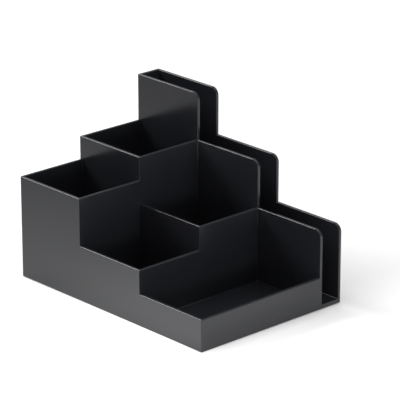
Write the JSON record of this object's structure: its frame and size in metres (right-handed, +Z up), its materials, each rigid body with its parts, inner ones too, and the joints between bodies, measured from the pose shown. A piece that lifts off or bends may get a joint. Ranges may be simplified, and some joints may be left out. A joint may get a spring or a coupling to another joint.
{
  "type": "desk organiser",
  "caption": "Stepped one-piece desk organiser with open square bins for pens, a low front tray for clips and a letter slot between tall rounded panels at the back.",
  "frame": {"origin": "on the table under the middle of the organiser, level with the undersides of its feet", "axes": "+X runs along the front towards the low tray, +Y runs to the letter slot at the back, +Z is up"},
  "size_m": [0.1748, 0.1218, 0.1187],
  "materials": {
    "black_polystyrene": "moulded semi-gloss",
    "foot_rubber": "matt"
  },
  "bodies": {
    "root": {"organiser_body": "black_polystyrene", "foot_front_left": "foot_rubber", "foot_front_right": "foot_rubber", "foot_back_left": "foot_rubber", "foot_back_right": "foot_rubber"}
  },
  "joints": []
}
